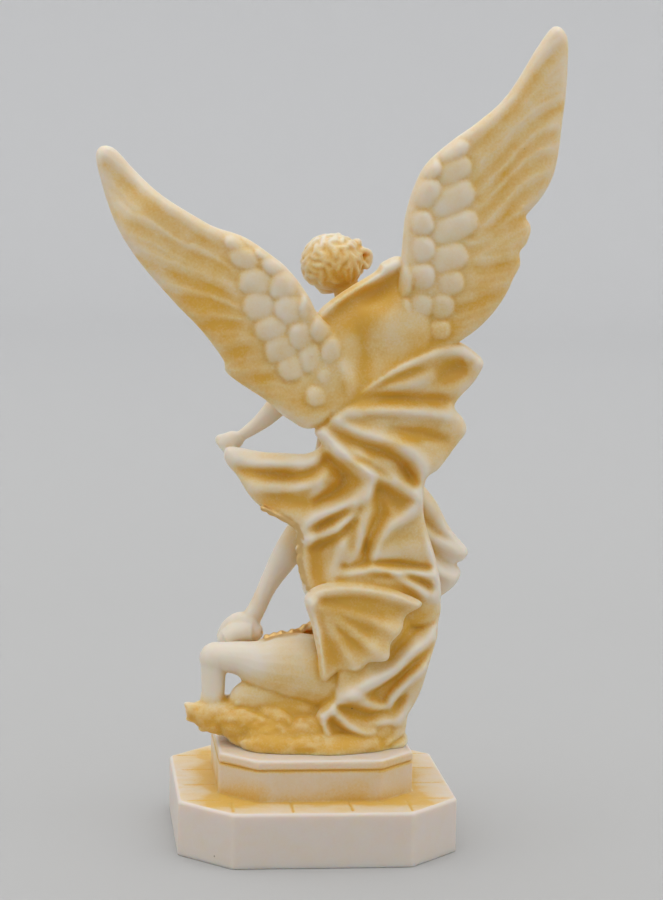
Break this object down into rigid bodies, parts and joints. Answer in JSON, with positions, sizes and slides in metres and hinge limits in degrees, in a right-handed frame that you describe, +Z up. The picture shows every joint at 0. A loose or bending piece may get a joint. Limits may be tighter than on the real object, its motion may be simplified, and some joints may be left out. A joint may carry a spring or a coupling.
{
  "type": "archangel michael statue",
  "caption": "Desk statuette of a winged saint in a blown cloak standing over a fallen devil on a rock, on a stepped plinth with chamfered corners.",
  "frame": {"origin": "centre of the plinth's underside, on the surface that the statuette stands on", "axes": "+Z up, the figure faces -Y, the figure's own left is +X"},
  "size_m": [0.1158, 0.07, 0.2059],
  "materials": {
    "stained_cast_stone": "translucent warm white cast stone, ochre stain rubbed into the hollows, soft satin on the ridges",
    "pale_cast_stone": "translucent warm white cast stone, faintly pink, ochre stain in the grooves"
  },
  "bodies": {
    "root": {"statue_group": "stained_cast_stone", "plinth": "pale_cast_stone"}
  },
  "joints": []
}
